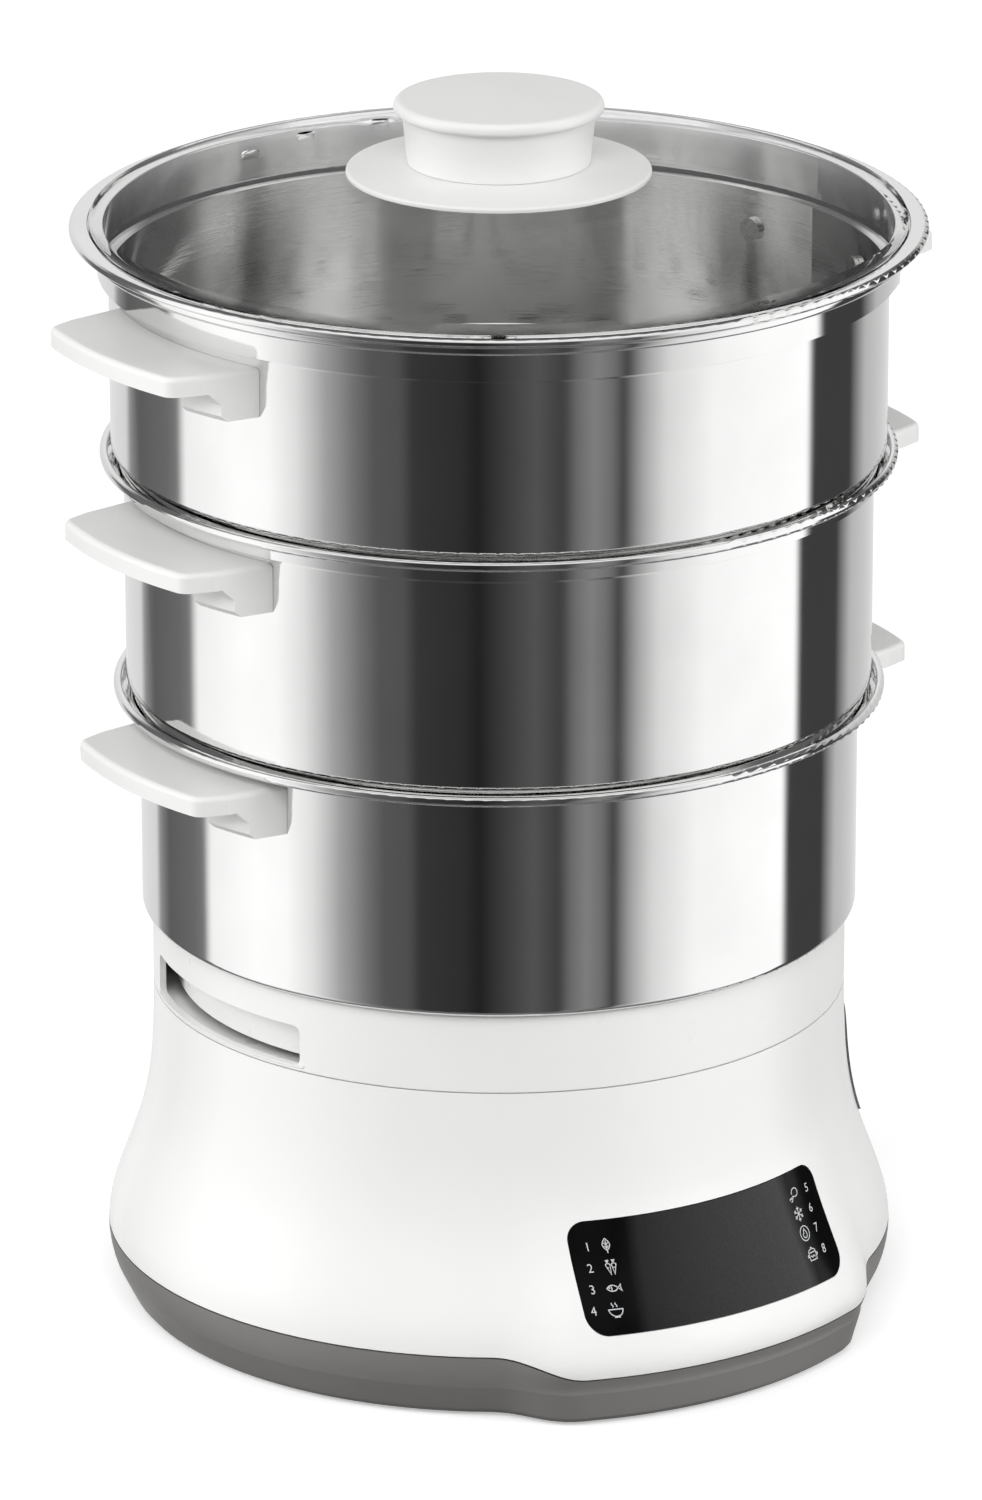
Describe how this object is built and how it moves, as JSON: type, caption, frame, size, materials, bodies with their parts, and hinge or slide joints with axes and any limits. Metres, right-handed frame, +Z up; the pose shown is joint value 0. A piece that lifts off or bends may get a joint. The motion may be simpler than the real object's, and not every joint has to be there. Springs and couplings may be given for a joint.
{
  "type": "electric food steamer",
  "caption": "Electric food steamer: heated base with touch panel and water tank, drip collector, stacked steel steaming bowls with side handles, and a domed glass lid.",
  "frame": {"origin": "on the table, under the middle of the base", "axes": "+Z up, the control panel faces -Y, the handles lie on +X and -X"},
  "size_m": [0.3042, 0.275, 0.4043],
  "materials": {
    "housing_white": "glossy white moulding",
    "cover_grey": "satin warm grey moulding",
    "collector_white": "glossy white moulding",
    "grip_white": "satin white moulding",
    "bowl_steel": "polished stainless sheet",
    "lid_steel": "polished stainless rim",
    "plate_steel": "perforated stainless sheet",
    "lid_glass": "clear tempered glass",
    "panel_black": "gloss black touch panel with white printing",
    "window_tint": "smoke tinted clear plastic",
    "tank_plastic": "satin light grey moulding",
    "ring_plastic": "satin white moulding",
    "rubber_dark": "dark rubber",
    "silicone": "translucent white silicone",
    "heater_steel": "brushed steel heater plate",
    "element_steel": "oxidised steel sheath",
    "screw_steel": "plated steel",
    "thermostat_metal": "pressed aluminium",
    "fuse_metal": "lacquered case in a plated clip",
    "circuit_board": "green coated laminate",
    "display_black": "display with dark face",
    "key_foam": "conductive foam",
    "frame_black": "black moulded carrier",
    "relay_black": "black moulded case"
  },
  "bodies": {
    "base": {"base_cover": "cover_grey", "base_housing": "housing_white", "base_screws": "screw_steel", "rubber_feet": "rubber_dark", "cord_gland": "rubber_dark", "water_tank": "tank_plastic", "heater_plate": "heater_steel", "heater_seal": "silicone", "heater_clamp": "heater_steel", "heater_screws": "screw_steel", "heating_element": "element_steel", "thermostat": "thermostat_metal", "thermal_fuse": "fuse_metal", "control_panel": "panel_black", "control_board": "circuit_board", "display_module": "display_black", "key_pillars": "key_foam", "board_frame": "frame_black", "board_screws": "screw_steel", "power_board": "circuit_board", "relay": "relay_black", "buzzer": "relay_black", "level_window": "window_tint", "window_seal": "rubber_dark"},
    "turbo_ring": {"turbo_ring": "ring_plastic"},
    "collector": {"collector_ring": "collector_white", "juice_tray": "collector_white"},
    "lid": {"lid_glass": "lid_glass", "lid_rim": "lid_steel", "knob_base": "grip_white", "lid_knob": "grip_white", "knob_washer": "silicone", "knob_screw": "screw_steel"},
    "bottom_bowl": {"bottom_bowl": "bowl_steel", "bottom_steam_plate": "plate_steel", "bottom_left_handle": "grip_white", "bottom_right_handle": "grip_white", "bottom_handle_screws": "screw_steel"},
    "middle_bowl": {"middle_bowl": "bowl_steel", "middle_steam_plate": "plate_steel", "middle_left_handle": "grip_white", "middle_right_handle": "grip_white", "middle_handle_screws": "screw_steel"},
    "top_bowl": {"top_bowl": "bowl_steel", "top_steam_plate": "plate_steel", "top_left_handle": "grip_white", "top_right_handle": "grip_white", "top_handle_screws": "screw_steel"}
  },
  "joints": [
    {"name": "turbo_ring_lift", "type": "slide", "parent": "base", "child": "turbo_ring", "axis": [0, 0, 1], "range_m": [0, 0.034]},
    {"name": "collector_lift", "type": "slide", "parent": "base", "child": "collector", "axis": [0, 0, 1], "range_m": [0, 0.08]},
    {"name": "bottom_bowl_lift", "type": "slide", "parent": "collector", "child": "bottom_bowl", "axis": [0, 0, 1], "range_m": [0, 0.08]},
    {"name": "middle_bowl_lift", "type": "slide", "parent": "bottom_bowl", "child": "middle_bowl", "axis": [0, 0, 1], "range_m": [0, 0.08]},
    {"name": "top_bowl_lift", "type": "slide", "parent": "middle_bowl", "child": "top_bowl", "axis": [0, 0, 1], "range_m": [0, 0.08]},
    {"name": "lid_lift", "type": "slide", "parent": "top_bowl", "child": "lid", "axis": [0, 0, 1], "range_m": [0, 0.08]}
  ]
}
